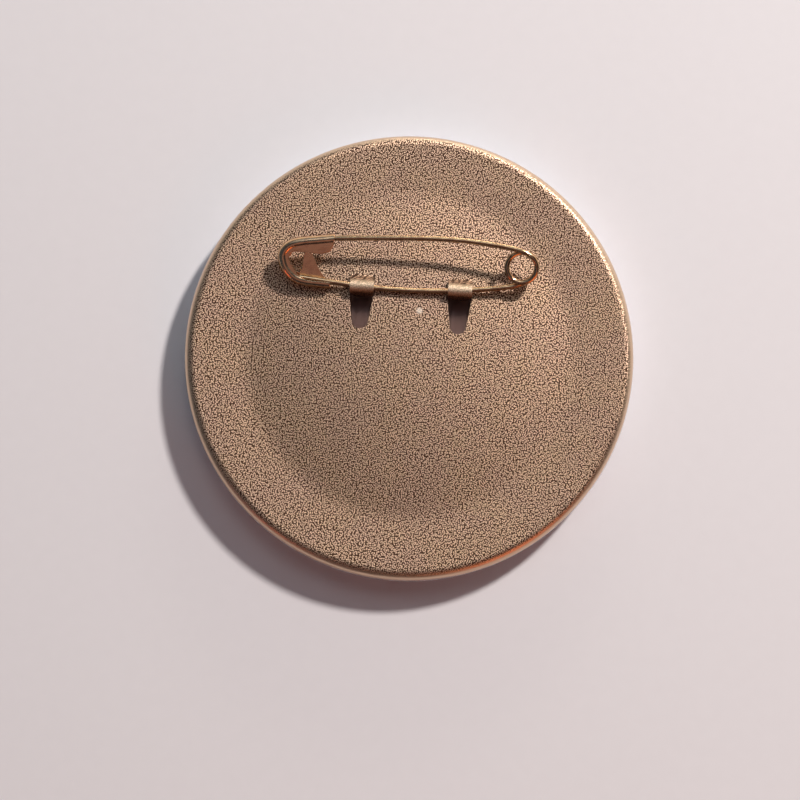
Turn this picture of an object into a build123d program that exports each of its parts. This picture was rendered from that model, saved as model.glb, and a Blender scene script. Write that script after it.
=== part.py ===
"""Round button badge, lying on its printed face with the pin side up.

A domed steel shell carries a printed disc and a clear film, both folded over the shell's rim.
A pressed back plate closes it like a lid.  Two tongues lanced out of the plate are folded over
the fixed leg of a safety pin, which is one wire with a sheet metal cap crimped to its end.

Millimetres, +Z up.  The origin is on the badge's axis, at the lowest point of the printed face.
+X runs along the line through the two tongues, and +Y towards the free side of the safety pin.
"""

import os
from math import asin, atan2, cos, degrees, radians, sin, sqrt

from build123d import *

# ---------------------------------------------------------------- driving dimensions
BADGE_RADIUS = 29.0  # widest point, at the bulge of the printed face

# printed face: a flat middle that it lies on, a shallow dome, a rounded edge, and a neck
FLAT_RADIUS = 10.0
FACE_BOW = 95.0
EDGE_RADIUS = 1.6
SHOULDER = 0.28  # radius of each half of the step between the bulge and the neck
RIM_Z = 4.25  # centre of the folded rim
FILM = 0.10
PAPER = 0.14
SHELL = 0.30
TUCK = 1.1  # how far the film and the paper reach down inside the rim

# back plate
PLATE = 0.30
PLATE_RADIUS = 28.85
PLATE_CORNER = 1.2
SKIRT_BOTTOM = 3.60
CREST_RADIUS = 27.4
CREST_Z = 5.30
CREASE_RADIUS = 20.85
CREASE_Z = 4.86
CREASE_BLEND = 9.0
CENTRE_Z = 5.72

# tongues lanced from the plate, and the slots that they leave
TONGUE_X = (-6.6, 6.0)
TONGUE_WIDTH = 3.06
TONGUE_TIP = 2.0
TONGUE_ROOT_Y = 9.85
TONGUE_RISE = 35.0  # angle of the tunnel's arc at which the rising part meets it
TONGUE_DROP = 3.2  # from the tunnel's centre to the tip, inside the badge
TUNNEL_RADIUS = 0.52
SLOT_WIDTH = 3.16
SLOT_TAPER_Y = 7.7
SLOT_END = (4.0, 1.06)  # centre and radius of the slot's round end

# safety pin, drawn flat in its own frame: u along the fixed leg, v towards the free arm
WIRE = 0.70
HINGE_Y = 8.42
HINGE_Z = 6.25
PIN_YAW = 1.1
PIN_TILT = 18.0  # how far the pin stands up from the plate at rest
LEG_BOW = 80.0
LEG_ARC = (-9.0, 12.4)
LEG_TAIL = 5.4
COIL_CENTRE = (14.03, 3.38)
COIL_RADIUS = 1.90
COIL_PITCH = 0.79
COIL_SPLIT = 360.0  # where the free arm takes over from the fixed leg's turns
COIL_LAP = 8.0  # how far the turns run into the leg and the arm, so that they join
ARM_PEAK = (3.5, 6.6)
ARM_BOW_COIL_SIDE = 55.0
ARM_BOW_POINT_SIDE = 110.0
ARM_STOP_U = 12.8
ARM_STRAIGHT = (-2.0, -8.0)
ARM_DIP = (-12.4, 40.0)  # end and radius of the bend that leads into the cap
ARM_LEVEL_U = -11.2  # where the arm, sloping down from the coil, crosses the leg's plane
POINT_LENGTH = 3.0
POINT_RADIUS = 0.06

# cap over the point: flattened sheet with a rolled channel along the top, nose and bottom
CAP_SHEET = 0.17
CAP_POCKET = 0.41  # half of the gap between the cap's two faces
CHANNEL_RADIUS = 0.51  # inside of the rolled channel
CHANNEL_LINE = (
    (-8.8, 6.10), (-10.0, 5.93), (-12.4, 5.60), (-14.6, 5.27), (-15.75, 4.81), (-16.24, 4.31),
    (-16.55, 3.63), (-16.50, 3.03), (-16.26, 2.28), (-15.79, 1.56), (-15.12, 0.93),
    (-14.39, 0.57), (-13.1, 0.34), (-10.3, 0.21), (-8.8, 0.16),
)
CAP_MOUTH = ((-9.98, 6.9), (-10.42, -0.8))
# each cut is a smooth edge, then the corners that close it outside the sheet
FRONT_WINDOW = (
    (
        (-9.9, 5.75), (-10.13, 5.09), (-10.40, 4.57), (-10.84, 4.19), (-11.53, 4.00), (-12.88, 4.05),
        (-14.36, 4.29), (-15.0, 4.21), (-15.43, 4.01), (-15.70, 3.67), (-15.77, 3.25), (-15.54, 2.67),
        (-15.17, 2.04), (-14.77, 1.48), (-14.50, 1.15), (-14.05, 0.80), (-13.46, 0.60),
        (-12.43, 0.49), (-10.77, 0.43), (-9.4, 0.38),
    ),
    ((-8.7, 0.38), (-8.7, 5.75)),
)
REAR_EDGE = (
    ((-12.95, 3.95), (-12.70, 3.56), (-12.31, 2.80), (-11.83, 1.85), (-11.22, 1.04), (-10.5, 0.10), (-10.2, -0.8)),
    ((-8.7, -0.8), (-8.7, 5.4), (-9.9, 5.4), (-11.3, 4.6)),
)
REAR_WINDOW = (
    ((-13.75, 4.0), (-13.98, 2.72), (-14.14, 1.81), (-14.45, 1.38)),
    ((-14.75, 1.5), (-15.45, 2.4), (-15.8, 3.3), (-15.3, 4.0)),
)

TONGUE_MID = sum(TONGUE_X) / 2
LEG_SAG = LEG_BOW - sqrt(LEG_BOW**2 - (TONGUE_X[1] - TONGUE_MID) ** 2)

os.makedirs("parts", exist_ok=True)


def save(part, name):
    """Label a finished piece and write it out."""
    part.label = name
    export_step(part, f"parts/{name}.step")
    print(name, len(part.solids()), round(part.volume, 3))


# ---------------------------------------------------------------- printed face
NECK_RADIUS = BADGE_RADIUS - 2 * SHOULDER
EDGE_CENTRE_R = BADGE_RADIUS - EDGE_RADIUS
EDGE_TILT = asin((EDGE_CENTRE_R - FLAT_RADIUS) / (FACE_BOW - EDGE_RADIUS))
EDGE_CENTRE_Z = FACE_BOW - (FACE_BOW - EDGE_RADIUS) * cos(EDGE_TILT)
RIM_HALF = FILM + PAPER + SHELL / 2


def skin(depth):
    """Half section of the face at a depth below the film's surface, from the axis to the rim."""
    tilt = degrees(EDGE_TILT)
    Line((0, depth), (FLAT_RADIUS, depth))
    CenterArc((FLAT_RADIUS, FACE_BOW), FACE_BOW - depth, -90, tilt)
    CenterArc((EDGE_CENTRE_R, EDGE_CENTRE_Z), EDGE_RADIUS - depth, tilt - 90, 90 - tilt)
    bulge_top = EDGE_CENTRE_Z + SHOULDER
    if depth < SHOULDER:
        CenterArc((BADGE_RADIUS - SHOULDER, EDGE_CENTRE_Z), SHOULDER - depth, 0, 90)
        neck_foot = (BADGE_RADIUS - SHOULDER, bulge_top + SHOULDER)
        CenterArc(neck_foot, SHOULDER + depth, 270, -90)
    else:
        inner = BADGE_RADIUS - depth
        Line((inner, EDGE_CENTRE_Z), (NECK_RADIUS - depth, bulge_top + SHOULDER))
    Line((NECK_RADIUS - depth, bulge_top + SHOULDER), (NECK_RADIUS - depth, RIM_Z))


def layer(name, outer, inner):
    """One wrapped layer of the face, from its outer depth to its inner depth."""
    with BuildPart() as piece:
        with BuildSketch(Plane.XZ):
            with BuildLine():
                skin(outer)
                skin(inner)
                Line((0, outer), (0, inner))
                rim = (NECK_RADIUS - RIM_HALF, RIM_Z)
                CenterArc(rim, RIM_HALF - outer, 0, 180)
                CenterArc(rim, RIM_HALF - inner, 0, 180)
                back = NECK_RADIUS - 2 * RIM_HALF
                Line((back + outer, RIM_Z), (back + outer, RIM_Z - TUCK))
                Line((back + inner, RIM_Z), (back + inner, RIM_Z - TUCK))
                Line((back + outer, RIM_Z - TUCK), (back + inner, RIM_Z - TUCK))
            make_face()
        revolve(axis=Axis.Z)
    save(piece.part, name)


layer("clear_film", 0, FILM)
layer("artwork_disc", FILM, FILM + PAPER)

with BuildPart() as front_shell:
    shell_outside = FILM + PAPER
    shell_inside = shell_outside + SHELL
    with BuildSketch(Plane.XZ):
        with BuildLine():
            skin(shell_outside)
            skin(shell_inside)
            Line((0, shell_outside), (0, shell_inside))
            CenterArc((NECK_RADIUS - RIM_HALF, RIM_Z), SHELL / 2, 0, 180)
        make_face()
    revolve(axis=Axis.Z)
save(front_shell.part, "front_shell")

# ---------------------------------------------------------------- back plate
DOME_RISE = CENTRE_Z - CREASE_Z
DOME_SPHERE = (CREASE_RADIUS**2 + DOME_RISE**2) / (2 * DOME_RISE)
PLATE_BELOW_HINGE = HINGE_Z - (CENTRE_Z - (TONGUE_X[1] ** 2 + HINGE_Y**2) / (2 * DOME_SPHERE))


def plate_surface(depth):
    """Half section of the plate's top surface at a depth, from the axis to the skirt."""
    sphere = DOME_SPHERE - depth
    turn = asin(CREASE_RADIUS / DOME_SPHERE)
    centre = CENTRE_Z - DOME_SPHERE
    crease = (sphere * sin(turn), centre + sphere * cos(turn))
    middle = (sphere * sin(turn / 2), centre + sphere * cos(turn / 2))
    corner_r = PLATE_RADIUS - PLATE_CORNER
    corner_z = CREST_Z - PLATE_CORNER
    slope = atan2(CREST_Z - CREASE_Z, CREST_RADIUS - CREASE_RADIUS)
    corner = PLATE_CORNER - depth
    corner_start = (corner_r - corner * sin(slope), corner_z + corner * cos(slope))
    ThreePointArc((0, CENTRE_Z - depth), middle, crease)
    Line(crease, corner_start)
    CenterArc((corner_r, corner_z), corner, 90 + degrees(slope), -90 - degrees(slope))
    Line((PLATE_RADIUS - depth, corner_z), (PLATE_RADIUS - depth, SKIRT_BOTTOM))


def slot_outline(x):
    """Outline of the slot that a tongue leaves: parallel, then tapered to a round end."""
    end_y, end_r = SLOT_END
    half = SLOT_WIDTH / 2
    with BuildSketch(Plane.XY.offset(CREASE_Z)) as slot:
        with BuildLine():
            Polyline(
                (x - end_r, end_y),
                (x - half, SLOT_TAPER_Y),
                (x - half, TONGUE_ROOT_Y),
                (x + half, TONGUE_ROOT_Y),
                (x + half, SLOT_TAPER_Y),
                (x + end_r, end_y),
            )
            CenterArc((x, end_y), end_r, 0, -180)
        make_face()
    return slot.sketch


def tunnel_centre(x):
    """Where the pin's fixed leg passes through the tongue at x."""
    return Vector(x, HINGE_Y + (x - TONGUE_MID) * sin(radians(PIN_YAW)), HINGE_Z)


def tongue_section(x):
    """Side profile of a tongue: up from the plate, over the wire, down through its own slot."""
    sheet_arc = TUNNEL_RADIUS + PLATE / 2
    rise = radians(TONGUE_RISE)
    joint = (sheet_arc * cos(rise), sheet_arc * sin(rise))
    sheet_z = -PLATE_BELOW_HINGE - PLATE / 2
    corner = (joint[0] + (joint[1] - sheet_z) * sin(rise) / cos(rise), sheet_z - 0.03)
    with BuildSketch(Plane(origin=tunnel_centre(x), x_dir=(0, 1, 0), z_dir=(1, 0, 0))) as section:
        with BuildLine():
            FilletPolyline((corner[0] + 0.8, sheet_z - 0.05), corner, joint, radius=0.35)
            CenterArc((0, 0), sheet_arc, TONGUE_RISE, 180 - TONGUE_RISE)
            Line((-sheet_arc, 0), (-sheet_arc, -TONGUE_DROP))
        trace(line_width=PLATE)
    return section.sketch


def tongue_front(x):
    """A tongue's outline seen from the front: full width, then tapered to a round tip."""
    half = TONGUE_WIDTH / 2
    tip = TONGUE_TIP / 2
    tip_z = tip - TONGUE_DROP
    with BuildSketch(Plane(origin=tunnel_centre(x), x_dir=(1, 0, 0), z_dir=(0, -1, 0))) as front:
        with BuildLine():
            Polyline((-tip, tip_z), (-half, -0.4), (-half, 2), (half, 2), (half, -0.4), (tip, tip_z))
            CenterArc((0, tip_z), tip, 0, -180)
        make_face()
    return front.sketch


with BuildPart() as tongue_fronts:
    for x in TONGUE_X:
        extrude(tongue_front(x), amount=3, both=True)

with BuildPart() as tongues:
    for x in TONGUE_X:
        extrude(tongue_section(x), amount=TONGUE_WIDTH / 2, both=True)
    add(tongue_fronts.part, mode=Mode.INTERSECT)

with BuildPart() as back_plate:
    with BuildSketch(Plane.XZ):
        with BuildLine():
            plate_surface(0)
            plate_surface(PLATE)
            Line((0, CENTRE_Z), (0, CENTRE_Z - PLATE))
            Line((PLATE_RADIUS, SKIRT_BOTTOM), (PLATE_RADIUS - PLATE, SKIRT_BOTTOM))
        make_face()
    revolve(axis=Axis.Z)
    crease = back_plate.edges().filter_by(GeomType.CIRCLE).filter_by(
        lambda edge: abs(edge.radius - CREASE_RADIUS) < 0.2 and edge.length > 100
    )
    fillet(crease, CREASE_BLEND)
    for x in TONGUE_X:
        extrude(slot_outline(x), amount=2, mode=Mode.SUBTRACT)
    add(tongues.part)
save(back_plate.part, "back_plate")

# ---------------------------------------------------------------- safety pin
hinge = Plane(
    origin=(TONGUE_MID, HINGE_Y, HINGE_Z),
    x_dir=(cos(radians(PIN_YAW)), sin(radians(PIN_YAW)), 0),
    z_dir=(0, 0, 1),
)
pin_place = hinge.location * Location((0, 0, 0), (PIN_TILT, 0, 0))


def arc_into_coil(start, heading, side):
    """Centre, radius, first angle and turn of the arc from start that runs into the coil."""
    normal = Vector(-heading.Y, heading.X) * side
    reach = start - Vector(*COIL_CENTRE)
    radius = (COIL_RADIUS**2 - reach.dot(reach)) / (2 * (normal.dot(reach) + COIL_RADIUS))
    centre = start + normal * radius
    touch = (Vector(*COIL_CENTRE) - centre).normalized()
    first = degrees(atan2(-normal.Y, -normal.X))
    return centre, radius, first, side * (normal * -1).get_angle(touch)


def add_wire(path):
    """Sweep the wire's round section along a path, inside the open part."""
    with BuildSketch(Plane(origin=path @ 0, z_dir=path % 0)) as section:
        Circle(WIRE / 2)
    sweep(section.sketch, path=path, is_frenet=True)


def coil_turns(start, stop):
    """Helix of the coil between two angles.  It stands at height 0 where the leg meets it."""
    height = (start - coil_start) / 360 * COIL_PITCH
    helix = Edge.make_helix(COIL_PITCH, (stop - start) / 360 * COIL_PITCH, COIL_RADIUS)
    return helix.moved(Location((*COIL_CENTRE, height), (0, 0, start)))


leg_centre = (0, LEG_BOW - LEG_SAG)
leg_left, leg_right = (degrees(asin(u / LEG_BOW)) for u in LEG_ARC)
with BuildLine() as leg_line:
    bow = CenterArc(leg_centre, LEG_BOW, 270 + leg_left, leg_right - leg_left)
    Line(bow @ 0 - (bow % 0) * LEG_TAIL, bow @ 0)
    leg_blend = arc_into_coil(bow @ 1, bow % 1, 1)
    CenterArc(*leg_blend)
coil_start = leg_blend[2] + leg_blend[3]

arm_centre_r = Vector(ARM_PEAK[0], ARM_PEAK[1] - ARM_BOW_COIL_SIDE)
arm_centre_l = Vector(ARM_PEAK[0], ARM_PEAK[1] - ARM_BOW_POINT_SIDE)
arm_right = degrees(asin((ARM_STOP_U - ARM_PEAK[0]) / ARM_BOW_COIL_SIDE))
arm_left = degrees(asin((ARM_PEAK[0] - ARM_STRAIGHT[0]) / ARM_BOW_POINT_SIDE))
arm_end = arm_centre_r + Vector(0, ARM_BOW_COIL_SIDE).rotate(Axis.Z, -arm_right)
arm_heading = Vector(1, 0).rotate(Axis.Z, -arm_right)
blend_centre, blend_radius, blend_first, blend_turn = arc_into_coil(arm_end, arm_heading, -1)
coil_stop = blend_first + blend_turn + 360
coil_height = (coil_stop - coil_start) / 360 * COIL_PITCH
arm_root_u = COIL_CENTRE[0] + COIL_RADIUS * cos(radians(coil_stop))
arm_slope = coil_height / (arm_root_u - ARM_LEVEL_U)
arm_plane = Plane(origin=(arm_root_u, 0, coil_height), x_dir=(1, 0, arm_slope), z_dir=(-arm_slope, 0, 1))


def on_arm(point):
    """A point of the pin's frame, in the arm's slightly sloping plane."""
    return (point.X - arm_root_u, point.Y)


straight_start = arm_centre_l + Vector(0, ARM_BOW_POINT_SIDE).rotate(Axis.Z, arm_left)
straight_way = Vector(-1, 0).rotate(Axis.Z, arm_left)
straight_end = straight_start + straight_way * (ARM_STRAIGHT[0] - ARM_STRAIGHT[1])
dip_turn = degrees((ARM_STRAIGHT[1] - ARM_DIP[0]) / ARM_DIP[1])
dip_centre = straight_end + straight_way.rotate(Axis.Z, 90) * ARM_DIP[1]
with BuildLine(arm_plane) as arm_line:
    dip = CenterArc(on_arm(dip_centre), ARM_DIP[1], 90 + arm_left + dip_turn, -dip_turn)
    Line(on_arm(straight_end), on_arm(straight_start))
    CenterArc(on_arm(arm_centre_l), ARM_BOW_POINT_SIDE, 90 + arm_left, -arm_left)
    CenterArc(on_arm(arm_centre_r), ARM_BOW_COIL_SIDE, 90, -arm_right)
    CenterArc(on_arm(blend_centre), blend_radius, blend_first, blend_turn)

with BuildPart() as fixed_leg:
    add_wire(leg_line.wire())
    add_wire(coil_turns(coil_start - COIL_LAP, COIL_SPLIT))
save(pin_place * fixed_leg.part, "fixed_leg")

with BuildPart() as point_arm:
    add_wire(coil_turns(COIL_SPLIT, coil_stop + COIL_LAP))
    add_wire(arm_line.wire())
    with Locations(Plane(origin=dip @ 0, z_dir=(dip % 0) * -1)):
        Cone(WIRE / 2, POINT_RADIUS, POINT_LENGTH, align=(Align.CENTER, Align.CENTER, Align.MIN))
save(pin_place * point_arm.part, "point_arm")

# ---------------------------------------------------------------- cap over the point


def rolled_block(half_height, radius):
    """A flat block edged with a round bead along the channel's line, open towards the arm."""
    with BuildLine() as channel:
        Spline(*CHANNEL_LINE)
    line = channel.wire()
    with BuildSketch() as flat:
        with BuildLine():
            add(line)
            Line(line @ 1, line @ 0)
        make_face()
    with BuildSketch(Plane(origin=line @ 0, z_dir=line % 0)) as bead:
        Circle(radius)
    with BuildPart() as block:
        extrude(flat.sketch, amount=half_height, both=True)
        sweep(bead.sketch, path=line)
    return block.part


def trim(points, low, high):
    """Cut the cap's sheet inside a closed outline, between two heights."""
    with BuildSketch(Plane.XY.offset(low)) as window:
        with BuildLine():
            Spline(*points[0])
            Polyline(points[0][-1], *points[1], points[0][0])
        make_face()
    extrude(window.sketch, amount=high - low, mode=Mode.SUBTRACT)


CAP_HALF = CAP_POCKET + CAP_SHEET
OVER = CHANNEL_RADIUS + CAP_SHEET + 0.1
with BuildPart() as guard_cap:
    add(rolled_block(CAP_HALF, CHANNEL_RADIUS + CAP_SHEET))
    add(rolled_block(CAP_POCKET, CHANNEL_RADIUS), mode=Mode.SUBTRACT)
    with BuildSketch(Plane.XY.offset(-OVER)) as beyond_mouth:
        with BuildLine():
            Polyline(CAP_MOUTH[0], CAP_MOUTH[1], (-7, -0.8), (-7, 6.9), close=True)
        make_face()
    extrude(beyond_mouth.sketch, amount=2 * OVER, mode=Mode.SUBTRACT)
    trim(FRONT_WINDOW, 0, OVER)
    trim(REAR_EDGE, -OVER, 0)
    trim(REAR_WINDOW, -OVER, 0)
save(pin_place * guard_cap.part, "guard_cap")
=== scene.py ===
"""Looks of the button badge: fine meshes, materials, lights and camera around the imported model.

Lengths in this script are millimetres until a mesh or a light is made.  The pieces keep the
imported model's frame: +Z up through the back plate, origin at the lowest point of the face.
"""

import math

import bpy
from mathutils import Matrix, Vector


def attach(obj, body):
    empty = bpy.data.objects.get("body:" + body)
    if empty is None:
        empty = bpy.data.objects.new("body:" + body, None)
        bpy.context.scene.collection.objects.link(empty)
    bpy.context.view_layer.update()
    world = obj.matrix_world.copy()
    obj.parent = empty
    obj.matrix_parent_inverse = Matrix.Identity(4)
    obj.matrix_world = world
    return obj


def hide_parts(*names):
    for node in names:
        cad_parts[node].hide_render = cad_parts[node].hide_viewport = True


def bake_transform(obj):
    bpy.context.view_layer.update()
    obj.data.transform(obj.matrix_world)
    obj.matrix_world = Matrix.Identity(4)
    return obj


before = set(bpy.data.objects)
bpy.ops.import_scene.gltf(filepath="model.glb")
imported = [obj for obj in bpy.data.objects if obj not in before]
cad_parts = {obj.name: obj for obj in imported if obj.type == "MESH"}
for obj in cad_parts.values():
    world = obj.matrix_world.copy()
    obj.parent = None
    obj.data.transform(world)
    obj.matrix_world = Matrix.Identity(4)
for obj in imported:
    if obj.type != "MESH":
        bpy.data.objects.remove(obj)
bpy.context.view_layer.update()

MM = 0.001
STEP = 0.12  # usual distance between the points of a curve
SMOOTH_BELOW = 35  # degrees between two faces that still shade as one

# printed face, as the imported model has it
BADGE_RADIUS = 29.0
FLAT_RADIUS = 10.0
FACE_BOW = 95.0
EDGE_RADIUS = 1.6
SHOULDER = 0.28
RIM_Z = 4.25
FILM = 0.10
PAPER = 0.14
SHELL = 0.30
TUCK = 1.1
PAPER_GAP = 0.01  # keeps the paper's face just behind the film's inner face
RING_STEPS = 480

# safety pin, drawn flat in its own frame
WIRE_RADIUS = 0.35
HINGE = (-0.3, 8.42, 6.25)
PIN_YAW = math.radians(1.1)
PIN_TILT = math.radians(18)
LEG_BOW = 80.0
LEG_ARC = (-9.0, 12.4)
LEG_TAIL = 5.4
TONGUE_REACH = 6.3
COIL_CENTRE = (14.03, 3.38)
COIL_RADIUS = 1.90
COIL_PITCH = 0.79
ARM_PEAK = (3.5, 6.6)
ARM_BOW_COIL_SIDE = 55.0
ARM_BOW_POINT_SIDE = 110.0
ARM_STOP_U = 12.8
ARM_STRAIGHT = (-2.0, -8.0)
ARM_DIP = (-12.4, 40.0)
ARM_LEVEL_U = -11.2
POINT_LENGTH = 3.0
POINT_RADIUS = 0.06
POINT_TAPER = 1.15  # above 1, the point keeps its thickness for longer
POINT_STEPS = 30
EASE_REACH = 10  # neighbours on each side that a point's height is averaged with
WIRE_SIDES = 36

# finish of the back plate, by distance from the axis and by height
GRAIN = 0.195
GRAIN_EDGE = (27.9, 28.6)  # the grain fades out as the plate turns over the rim
GLOSS_EDGE = (27.4, 28.2)  # and the lacquer gets glossier
TONGUE_CROWN = (6.3, 6.7)  # heights between which the painted highlight on the tongues' tops begins
PALE_SPOT = (0.97, 5.7, 5.4)  # a fleck in the lacquer between the tongues
PALE_SPOT_EDGE = (0.62, 0.25)

# print, by distance from the axis
BORDER_EDGE = (24.3, 24.5)
RING_INSIDE = (22.8, 23.0)
RING_OUTSIDE = (23.6, 23.4)

# floor and camera
FLOOR_WIDTH = 3.0  # metres
TURN = math.radians(3.65)
RISE = math.radians(83)
VIEW_WIDTH = 104.2
AIM = (-1.17, -5.19)  # right and up in the view, from the badge's axis
LENS = 100
SENSOR = 36


# ---------------------------------------------------------------- mesh helpers
def add_mesh(name, points, faces, material):
    """A smooth mesh object from points in millimetres."""
    mesh = bpy.data.meshes.new(name)
    mesh.from_pydata([Vector(point) * MM for point in points], [], faces)
    mesh.update()
    mesh.shade_smooth()
    mesh.set_sharp_from_angle(angle=math.radians(SMOOTH_BELOW))
    mesh.materials.append(material)
    piece = bpy.data.objects.new(name, mesh)
    bpy.context.collection.objects.link(piece)
    return piece


def arc(centre, radius, first, turn, step=STEP):
    """Points along an arc.  Angles are in degrees and the step is a length."""
    count = max(2, math.ceil(abs(math.radians(turn)) * radius / step))
    points = []
    for index in range(count + 1):
        angle = math.radians(first + turn * index / count)
        points.append((centre[0] + radius * math.cos(angle), centre[1] + radius * math.sin(angle)))
    return points


def line(start, end, step=STEP):
    """Points along a straight run."""
    count = max(1, math.ceil(math.dist(start, end) / step))
    return [
        tuple(a + (b - a) * index / count for a, b in zip(start, end)) for index in range(count + 1)
    ]


def chain(*runs):
    """Join runs of points end to end, dropping the points that repeat."""
    points = []
    for run in runs:
        for point in run:
            if not points or math.dist(points[-1], point) > 1e-5:
                points.append(point)
    return points


def ring_faces(low, high):
    """Faces between two rings of point numbers.  A ring on the axis gives triangles."""
    faces = []
    for index in range(len(low)):
        after = (index + 1) % len(low)
        corners = []
        for corner in (low[index], low[after], high[after], high[index]):
            if corner not in corners:
                corners.append(corner)
        if len(corners) > 2:
            faces.append(corners)
    return faces


def revolve(name, profile, material):
    """Turn a closed half section of (radius, z) points about the Z axis."""
    points = []
    rings = []
    for radius, z in profile:
        if radius < 1e-6:
            rings.append([len(points)] * RING_STEPS)
            points.append((0, 0, z))
            continue
        rings.append(list(range(len(points), len(points) + RING_STEPS)))
        for index in range(RING_STEPS):
            angle = 2 * math.pi * index / RING_STEPS
            points.append((radius * math.cos(angle), radius * math.sin(angle), z))
    faces = []
    for low, high in zip(rings, rings[1:] + rings[:1]):
        faces += ring_faces(low, high)
    return add_mesh(name, points, faces, material)


# ---------------------------------------------------------------- shader helpers
class Graph:
    """Short calls that add nodes to a tree and wire them up."""

    def __init__(self, tree, place):
        self.tree = tree
        self.place = tree.nodes.new("ShaderNodeTexCoord").outputs[place]

    def plug(self, value, socket):
        """Link a socket to another, or set it to a value."""
        if isinstance(value, bpy.types.NodeSocket):
            self.tree.links.new(value, socket)
        elif isinstance(value, tuple) and socket.type == "RGBA":
            socket.default_value = (*value, 1)
        else:
            socket.default_value = value

    def math(self, operation, *values):
        node = self.tree.nodes.new("ShaderNodeMath")
        node.operation = operation
        for value, socket in zip(values, node.inputs):
            self.plug(value, socket)
        return node.outputs[0]

    def vector(self, operation, *values):
        node = self.tree.nodes.new("ShaderNodeVectorMath")
        node.operation = operation
        for value, socket in zip(values, node.inputs):
            self.plug(value, socket)
        return node.outputs["Value" if operation in ("LENGTH", "DOT_PRODUCT") else "Vector"]

    def ramp(self, value, low, high, start=0.0, end=1.0):
        """Smooth step of a value from start to end, as it goes from low to high."""
        node = self.tree.nodes.new("ShaderNodeMapRange")
        node.interpolation_type = "SMOOTHSTEP"
        for given, key in ((value, 0), (low, 1), (high, 2), (start, 3), (end, 4)):
            self.plug(given, node.inputs[key])
        return node.outputs[0]

    def fade(self, length, edge, start=0.0, end=1.0):
        """Smooth step of a length in metres over an edge that is given in millimetres."""
        return self.ramp(length, edge[0] * MM, edge[1] * MM, start, end)

    def mix(self, share, first, second):
        node = self.tree.nodes.new("ShaderNodeMix")
        node.data_type = "RGBA"
        for value, socket in ((share, node.inputs[0]), (first, node.inputs[6]), (second, node.inputs[7])):
            self.plug(value, socket)
        return node.outputs[2]

    def height(self):
        """The place's Z."""
        node = self.tree.nodes.new("ShaderNodeSeparateXYZ")
        self.plug(self.place, node.inputs[0])
        return node.outputs["Z"]


class Nodes(Graph):
    """A new material and its shader.  Places are in the row frame, in metres."""

    def __init__(self, name):
        self.material = bpy.data.materials.new(name)
        self.material.use_nodes = True
        super().__init__(self.material.node_tree, "Object")
        self.shader = self.tree.nodes["Principled BSDF"]

    def set(self, **values):
        """Set or link sockets of the shader.  Underscores stand for spaces."""
        for key, value in values.items():
            self.plug(value, self.shader.inputs[key.replace("_", " ")])

    def noise(self, size, detail=2.0, roughness=0.5, stretch=(1.0, 1.0, 1.0)):
        """Noise whose grains are about this many millimetres across."""
        node = self.tree.nodes.new("ShaderNodeTexNoise")
        self.plug(self.vector("MULTIPLY", self.place, stretch), node.inputs["Vector"])
        node.inputs["Scale"].default_value = 1 / (size * MM)
        node.inputs["Detail"].default_value = detail
        node.inputs["Roughness"].default_value = roughness
        return node.outputs["Fac"]

    def cells(self, size, output="Distance"):
        """Flat cells about this many millimetres apart, slanted with height to cover walls too."""
        node = self.tree.nodes.new("ShaderNodeTexVoronoi")
        node.voronoi_dimensions = "2D"
        self.plug(self.vector("ADD", self.place, self.height()), node.inputs["Vector"])
        node.inputs["Scale"].default_value = 1 / (size * MM)
        return node.outputs[output]

    def bump(self, height, depth):
        """Bump of a depth in millimetres from a height between 0 and 1."""
        node = self.tree.nodes.new("ShaderNodeBump")
        node.inputs["Distance"].default_value = depth * MM
        self.plug(height, node.inputs["Height"])
        return node.outputs[0]

    def eased_bump(self, height, depth, radius):
        """The same, on edges that shade as if rounded to a radius in millimetres."""
        eased = self.tree.nodes.new("ShaderNodeBevel")
        eased.samples = 6
        eased.inputs["Radius"].default_value = radius * MM
        normal = self.bump(height, depth)
        self.plug(eased.outputs[0], normal.node.inputs["Normal"])
        return normal

    def from_axis(self):
        """Distance from the badge's axis, in metres."""
        return self.vector("LENGTH", self.vector("MULTIPLY", self.place, (1, 1, 0)))

    def from_point(self, point):
        """Distance from a point in millimetres, in metres."""
        return self.vector("LENGTH", self.vector("SUBTRACT", self.place, Vector(point) * MM))


# ---------------------------------------------------------------- materials
def plate_lacquer():
    """Rose-bronze lacquer with a fine wormy sparkle, smooth where the plate turns over the rim."""
    n = Nodes("rose bronze lacquer")
    radius = n.from_axis()
    grainy = n.fade(radius, GRAIN_EDGE, 1.0, 0.0)
    speck = n.ramp(n.cells(GRAIN), 0.16, 0.52, 1.0, 0.0)
    patches = n.ramp(n.noise(5.5), 0.36, 0.64)
    dark = n.mix(patches, (0.075, 0.038, 0.021), (0.075, 0.036, 0.023))
    light = n.mix(patches, (0.79, 0.556, 0.380), (0.76, 0.532, 0.380))
    # painted highlight: the tongues' tops are lightened with height towards a pale brass colour
    painted_crown_highlight = n.fade(n.height(), TONGUE_CROWN, 0.0, 0.6)
    sparkle = n.mix(painted_crown_highlight, n.mix(speck, dark, light), (0.68, 0.54, 0.38))
    colour = n.mix(grainy, (0.70, 0.52, 0.37), sparkle)
    spot = n.fade(n.from_point(PALE_SPOT), PALE_SPOT_EDGE, 0.0, 0.55)
    n.set(
        Base_Color=n.mix(spot, colour, (0.95, 0.86, 0.75)),
        Metallic=0.9,
        Roughness=n.fade(radius, GLOSS_EDGE, 0.5, 0.36),
        Normal=n.bump(n.math("MULTIPLY", speck, grainy), 0.015),
    )
    return n.material


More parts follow.
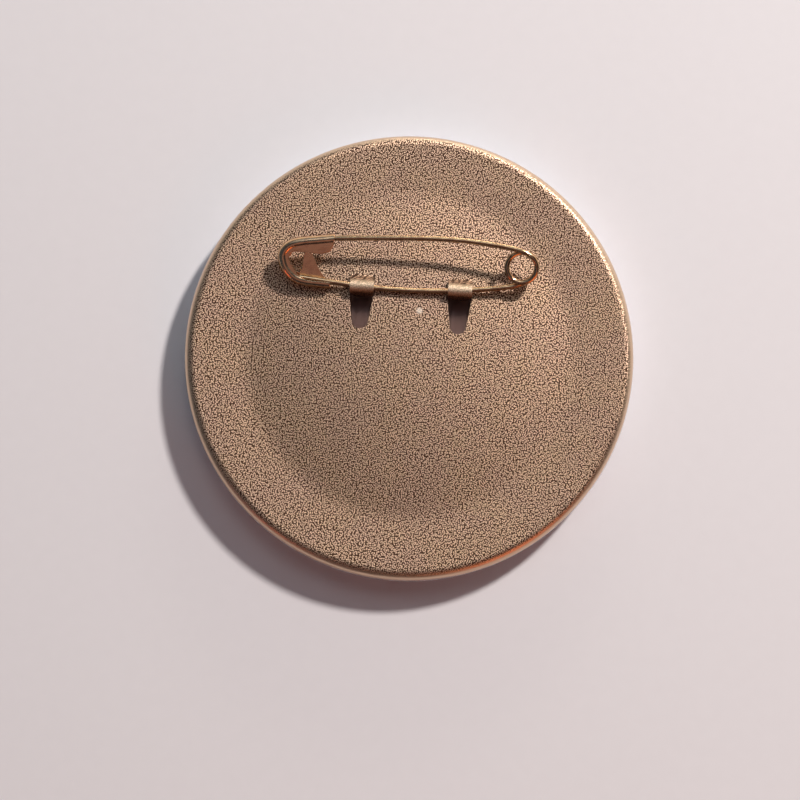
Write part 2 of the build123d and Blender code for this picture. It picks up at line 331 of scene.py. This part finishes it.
def brass(name, colour, shade, roughness):
    """Polished brass plating with faint drawing lines, small stains and a worn sheen."""
    n = Nodes(name)
    stain = n.ramp(n.noise(1.1, detail=3.0), 0.42, 0.70)
    lines = n.noise(0.10, stretch=(0.06, 1.0, 1.0))
    n.set(
        Base_Color=n.mix(n.math("MULTIPLY", stain, 0.55), colour, shade),
        Metallic=1.0,
        Roughness=n.ramp(lines, 0.3, 0.7, roughness - 0.05, roughness + 0.07),
        Normal=n.eased_bump(lines, 0.0016, radius=0.09),
    )
    return n.material


def tinplate():
    """Bright tinned steel with rolling lines and a warm tint from the lacquer bath."""
    n = Nodes("tinplate")
    rolled = n.noise(0.25, detail=3.0, stretch=(1.0, 0.05, 1.0))
    bloom = n.ramp(n.cells(2.4, output="Color"), 0.2, 0.9)
    n.set(
        Base_Color=n.mix(bloom, (0.48, 0.26, 0.20), (0.56, 0.32, 0.25)),
        Metallic=0.9,
        Roughness=n.ramp(rolled, 0.3, 0.7, 0.28, 0.42),
        Normal=n.bump(rolled, 0.004),
    )
    return n.material


def printed_paper():
    """Pale blue printed stock under a laminate: faint fibre, print dots, a lighter border and ring."""
    n = Nodes("printed paper")
    radius = n.from_axis()
    border = n.fade(radius, BORDER_EDGE)
    ring = n.math("MULTIPLY", n.fade(radius, RING_INSIDE), n.fade(radius, RING_OUTSIDE))
    fibre = n.noise(0.22, detail=4.0, roughness=0.65)
    dots = n.ramp(n.cells(0.16), 0.25, 0.55)
    field = n.mix(dots, (0.20, 0.36, 0.62), (0.30, 0.47, 0.72))
    plain = n.mix(fibre, (0.70, 0.76, 0.86), (0.80, 0.85, 0.92))
    n.set(
        Base_Color=n.mix(n.math("MAXIMUM", border, ring), field, plain),
        Roughness=0.55,
        Normal=n.bump(fibre, 0.004),
        Coat_Weight=1.0,
        Coat_Roughness=0.04,
        Coat_IOR=1.57,
    )
    return n.material


def clear_film():
    """Clear polyester film: almost all transparent, with a faint pull in its gloss."""
    n = Nodes("clear film")
    n.set(
        Base_Color=(0.86, 0.92, 1.0),
        Roughness=n.ramp(n.noise(3.5), 0.3, 0.7, 0.03, 0.07),
        Alpha=0.10,
        IOR=1.57,
    )
    return n.material


def pale_floor():
    """Matt pale board with a faint tooth."""
    n = Nodes("pale floor")
    tooth = n.noise(1.8, detail=4.0)
    n.set(
        Base_Color=n.mix(tooth, (0.705, 0.69, 0.705), (0.73, 0.715, 0.73)),
        Roughness=0.75,
        Normal=n.bump(tooth, 0.006),
    )
    return n.material


# ---------------------------------------------------------------- printed face
NECK_RADIUS = BADGE_RADIUS - 2 * SHOULDER
EDGE_CENTRE_R = BADGE_RADIUS - EDGE_RADIUS
EDGE_TILT = math.asin((EDGE_CENTRE_R - FLAT_RADIUS) / (FACE_BOW - EDGE_RADIUS))
EDGE_CENTRE_Z = FACE_BOW - (FACE_BOW - EDGE_RADIUS) * math.cos(EDGE_TILT)
RIM_HALF = FILM + PAPER + SHELL / 2
SMALL_STEP = 0.05  # for the tight bends at the shoulder and the rim
WIDE_STEP = 0.8  # for the shallow bow of the face


def shoulder(depth):
    """Half section of the step from the bulge to the neck, at a depth below the film's surface."""
    top = EDGE_CENTRE_Z + 2 * SHOULDER
    if depth >= SHOULDER:
        return [(NECK_RADIUS - depth, top)]
    outer_r = BADGE_RADIUS - SHOULDER
    return chain(
        arc((outer_r, EDGE_CENTRE_Z), SHOULDER - depth, 0, 90, SMALL_STEP),
        arc((outer_r, top), SHOULDER + depth, 270, -90, SMALL_STEP),
    )


def skin(depth):
    """Half section of the face at a depth below the film's surface, from the axis to the rim."""
    tilt = math.degrees(EDGE_TILT)
    return chain(
        line((0, depth), (FLAT_RADIUS, depth), 1.0),
        arc((FLAT_RADIUS, FACE_BOW), FACE_BOW - depth, -90, tilt, WIDE_STEP),
        arc((EDGE_CENTRE_R, EDGE_CENTRE_Z), EDGE_RADIUS - depth, tilt - 90, 90 - tilt),
        shoulder(depth),
        [(NECK_RADIUS - depth, RIM_Z)],
    )


def wrapped(depth):
    """The skin at a depth, carried over the folded rim and down inside it."""
    back = NECK_RADIUS - 2 * RIM_HALF + depth
    rim = arc((NECK_RADIUS - RIM_HALF, RIM_Z), RIM_HALF - depth, 0, 180, SMALL_STEP)
    return chain(skin(depth), rim, [(back, RIM_Z - TUCK)])


def wrapped_layer(name, node, outer, inner, material):
    """A layer of the face between two depths, in place of its CAD node."""
    piece = revolve(name, wrapped(outer) + wrapped(inner)[::-1], material)
    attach(piece, "badge")
    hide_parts(node)
    return piece


film = wrapped_layer("film_wrap", "clear_film", 0.0, FILM, clear_film())
print_outer = FILM + PAPER_GAP
print_inner = FILM + PAPER - PAPER_GAP
paper = wrapped_layer("print_wrap", "artwork_disc", print_outer, print_inner, printed_paper())


# ---------------------------------------------------------------- safety pin wire
LEG_SAG = LEG_BOW - math.sqrt(LEG_BOW**2 - TONGUE_REACH**2)
pin_u = Vector((math.cos(PIN_YAW), math.sin(PIN_YAW), 0))
pin_flat = Vector((-math.sin(PIN_YAW), math.cos(PIN_YAW), 0))
pin_v = pin_flat * math.cos(PIN_TILT) + Vector((0, 0, math.sin(PIN_TILT)))
pin_w = pin_u.cross(pin_v)


def pin_point(u, v, w=0.0):
    """A point of the pin's own frame, in the row frame."""
    return Vector(HINGE) + pin_u * u + pin_v * v + pin_w * w


def heading(angle):
    """Unit vector of a direction in degrees."""
    return Vector((math.cos(math.radians(angle)), math.sin(math.radians(angle))))


def arc_into_coil(start, way, side):
    """Centre, radius, first angle and turn of the arc from start that runs into the coil."""
    normal = Vector((-way.y, way.x)) * side
    reach = Vector(start) - Vector(COIL_CENTRE)
    radius = (COIL_RADIUS**2 - reach.dot(reach)) / (2 * (normal.dot(reach) + COIL_RADIUS))
    centre = Vector(start) + normal * radius
    touch = (Vector(COIL_CENTRE) - centre).normalized()
    first = math.degrees(math.atan2(-normal.y, -normal.x))
    return centre, radius, first, side * math.degrees((-normal).angle(touch))


def leg_run():
    """The fixed leg from its buried tail to the coil, and the angle where it meets the coil."""
    first, last = (math.degrees(math.asin(u / LEG_BOW)) for u in LEG_ARC)
    bow = arc((0, LEG_BOW - LEG_SAG), LEG_BOW, 270 + first, last - first)
    tail = tuple(Vector(bow[0]) - heading(first) * LEG_TAIL)
    centre, radius, start, turn = arc_into_coil(bow[-1], heading(last), 1)
    return chain(line(tail, bow[0]), bow, arc(centre, radius, start, turn)), start + turn


def arm_run():
    """The free arm from the coil to the base of its point, and the angle where it leaves the coil."""
    peak_u, peak_v = ARM_PEAK
    coil_side = math.degrees(math.asin((ARM_STOP_U - peak_u) / ARM_BOW_COIL_SIDE))
    point_side = math.degrees(math.asin((peak_u - ARM_STRAIGHT[0]) / ARM_BOW_POINT_SIDE))
    coil_bow = arc((peak_u, peak_v - ARM_BOW_COIL_SIDE), ARM_BOW_COIL_SIDE, 90 - coil_side, coil_side)
    point_bow = arc((peak_u, peak_v - ARM_BOW_POINT_SIDE), ARM_BOW_POINT_SIDE, 90, point_side)
    way = -heading(point_side)
    straight_end = Vector(point_bow[-1]) + way * (ARM_STRAIGHT[0] - ARM_STRAIGHT[1])
    dip_end_u, dip_radius = ARM_DIP
    dip_centre = straight_end + Vector((-way.y, way.x)) * dip_radius
    dip_turn = math.degrees((ARM_STRAIGHT[1] - dip_end_u) / dip_radius)
    centre, radius, start, turn = arc_into_coil(coil_bow[0], heading(-coil_side), -1)
    run = chain(
        arc(centre, radius, start + turn, -turn),
        coil_bow,
        point_bow,
        line(point_bow[-1], tuple(straight_end)),
        arc(dip_centre, dip_radius, 90 + point_side, dip_turn),
    )
    return run, start + turn


def wire_path():
    """The pin's wire from its buried tail to the base of its point, in the pin's frame."""
    leg, coil_start = leg_run()
    arm, coil_stop = arm_run()
    coil_turn = coil_stop + 360 - coil_start
    coil = arc(COIL_CENTRE, COIL_RADIUS, coil_start, coil_turn)
    rise = coil_turn / 360 * COIL_PITCH
    root_u = arm[0][0]
    slope = rise / (root_u - ARM_LEVEL_U)
    path = [(u, v, 0.0) for u, v in leg[:-1]]
    path += [(u, v, rise * index / (len(coil) - 1)) for index, (u, v) in enumerate(coil)]
    path += [(u, v, rise - slope * (root_u - u)) for u, v in arm[1:]]
    return path


def eased(path):
    """The path with its heights averaged over its neighbours, so that it has no kinks."""
    smooth = []
    for index, (u, v, _) in enumerate(path):
        near = path[max(0, index - EASE_REACH) : index + EASE_REACH + 1]
        smooth.append((u, v, sum(point[2] for point in near) / len(near)))
    return smooth


def sharpened(path):
    """The wire's path and radii with its ground point and rounded tip added."""
    radii = [WIRE_RADIUS] * len(path)
    end = Vector(path[-1])
    way = (end - Vector(path[-2])).normalized()
    for index in range(1, POINT_STEPS + 1):
        share = index / POINT_STEPS
        path.append(tuple(end + way * POINT_LENGTH * share))
        radii.append(WIRE_RADIUS + (POINT_RADIUS - WIRE_RADIUS) * (share**POINT_TAPER))
    return path, radii


def tube(name, path, radii, material):
    """A round tube along a path, with a radius at each point and closed ends."""
    centres = [pin_point(*point) for point in path]
    side = pin_w.copy()
    points = []
    rings = []
    for index, (centre, radius) in enumerate(zip(centres, radii)):
        before = centres[max(0, index - 1)]
        after = centres[min(len(centres) - 1, index + 1)]
        way = (after - before).normalized()
        side = (side - way * side.dot(way)).normalized()
        other = way.cross(side)
        rings.append(list(range(len(points), len(points) + WIRE_SIDES)))
        for step in range(WIRE_SIDES):
            angle = 2 * math.pi * step / WIRE_SIDES
            points.append(centre + (side * math.cos(angle) + other * math.sin(angle)) * radius)
    faces = [rings[0][::-1], rings[-1]]
    for low, high in zip(rings, rings[1:]):
        faces += ring_faces(low, high)
    return add_mesh(name, points, faces, material)


brass_wire = brass("brass wire", (0.66, 0.45, 0.26), (0.42, 0.22, 0.12), 0.15)
brass_cap = brass("brass cap", (0.84, 0.56, 0.33), (0.66, 0.39, 0.24), 0.18)
wire = tube("pin_wire", *sharpened(eased(wire_path())), brass_wire)
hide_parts("fixed_leg", "point_arm")
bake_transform(wire)

# ---------------------------------------------------------------- carried-over CAD nodes
finishes = {"front_shell": tinplate(), "back_plate": plate_lacquer(), "guard_cap": brass_cap}
for node_name, finish in finishes.items():
    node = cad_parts[node_name]
    node.data.materials.clear()
    node.data.materials.append(finish)

# ---------------------------------------------------------------- floor and camera
bpy.ops.mesh.primitive_plane_add(size=FLOOR_WIDTH, location=(0, 0, 0))
floor = bpy.context.object
floor.name = "floor"
floor.data.materials.append(pale_floor())

right = Vector((math.cos(TURN), math.sin(TURN), 0))
up_flat = Vector((-math.sin(TURN), math.cos(TURN), 0))
back = -up_flat * math.cos(RISE) + Vector((0, 0, math.sin(RISE)))
aim = right * AIM[0] + up_flat * (AIM[1] / math.sin(RISE))
camera = bpy.data.objects.new("camera", bpy.data.cameras.new("camera"))
camera.data.lens = LENS
camera.data.sensor_width = SENSOR
camera.location = (aim + back * (VIEW_WIDTH * LENS / SENSOR)) * MM
camera.rotation_euler = Matrix((right, back.cross(right), back)).transposed().to_euler()
bpy.context.collection.objects.link(camera)
bpy.context.scene.camera = camera


# ---------------------------------------------------------------- lights
def lamp(name, bearing, elevation, distance, size, power, colour):
    """An oval area lamp that looks at the badge.

    The bearing is (right, up) in the view, the elevation is in degrees, and the distance and
    the size, a width and a height, are in metres.
    """
    lift = math.radians(elevation)
    flat = (right * bearing[0] + up_flat * bearing[1]).normalized()
    way = flat * math.cos(lift) + Vector((0, 0, math.sin(lift)))
    light = bpy.data.objects.new(name, bpy.data.lights.new(name, "AREA"))
    light.data.shape = "ELLIPSE"
    light.data.size, light.data.size_y = size
    light.data.energy = power
    light.data.color = colour
    light.location = way * distance
    light.rotation_euler = way.to_track_quat("Z", "Y").to_euler()
    bpy.context.collection.objects.link(light)


def studio_world():
    """A dim room, cool towards the view's top left and warm opposite, with a low pale wall at its top."""
    world = bpy.data.worlds.new("studio")
    world.use_nodes = True
    bpy.context.scene.world = world
    g = Graph(world.node_tree, "Generated")
    cool_way = up_flat * 0.6 - right * 0.6 + Vector((0, 0, 0.4))
    cool = g.ramp(g.vector("DOT_PRODUCT", g.place, cool_way), -0.9, 0.9)
    room = g.mix(cool, (0.020, 0.013, 0.011), (0.050, 0.070, 0.095))
    wall_way = up_flat * 0.96 + right * 0.28
    wall_side = g.ramp(g.vector("DOT_PRODUCT", g.place, wall_way), -0.1, 0.7)
    wall_low = g.ramp(g.height(), 0.15, 0.62, 1.0, 0.0)
    wall = g.math("MULTIPLY", wall_low, wall_side)
    lit = g.mix(wall, room, (0.75, 0.70, 0.62))
    g.plug(lit, g.tree.nodes["Background"].inputs["Color"])


lamp("key", (0.67, 0.74), 42, 0.9, (0.095, 0.095), 8.8, (1.0, 0.935, 0.90))
lamp("top soft", (0.10, 0.99), 60, 0.7, (0.80, 0.56), 0.36, (0.80, 0.95, 1.12))
lamp("top spot", (0.10, 0.99), 66, 0.7, (0.26, 0.26), 0.22, (1.0, 0.97, 0.95))
lamp("wire strip", (0.17, 0.98), 13, 0.6, (0.30, 0.07), 0.52, (1.0, 0.95, 0.85))
lamp("lip card", (0.0, -1.0), 62, 0.6, (0.36, 0.36), 0.065, (1.0, 0.50, 0.40))
lamp("low warm", (0.52, -0.85), 24, 0.5, (0.30, 0.24), 0.32, (1.0, 0.27, 0.08))
lamp("low glint", (-0.67, -0.74), 20, 0.5, (0.12, 0.10), 0.07, (1.0, 0.22, 0.08))
studio_world()
bpy.context.scene.view_settings.view_transform = "Standard"
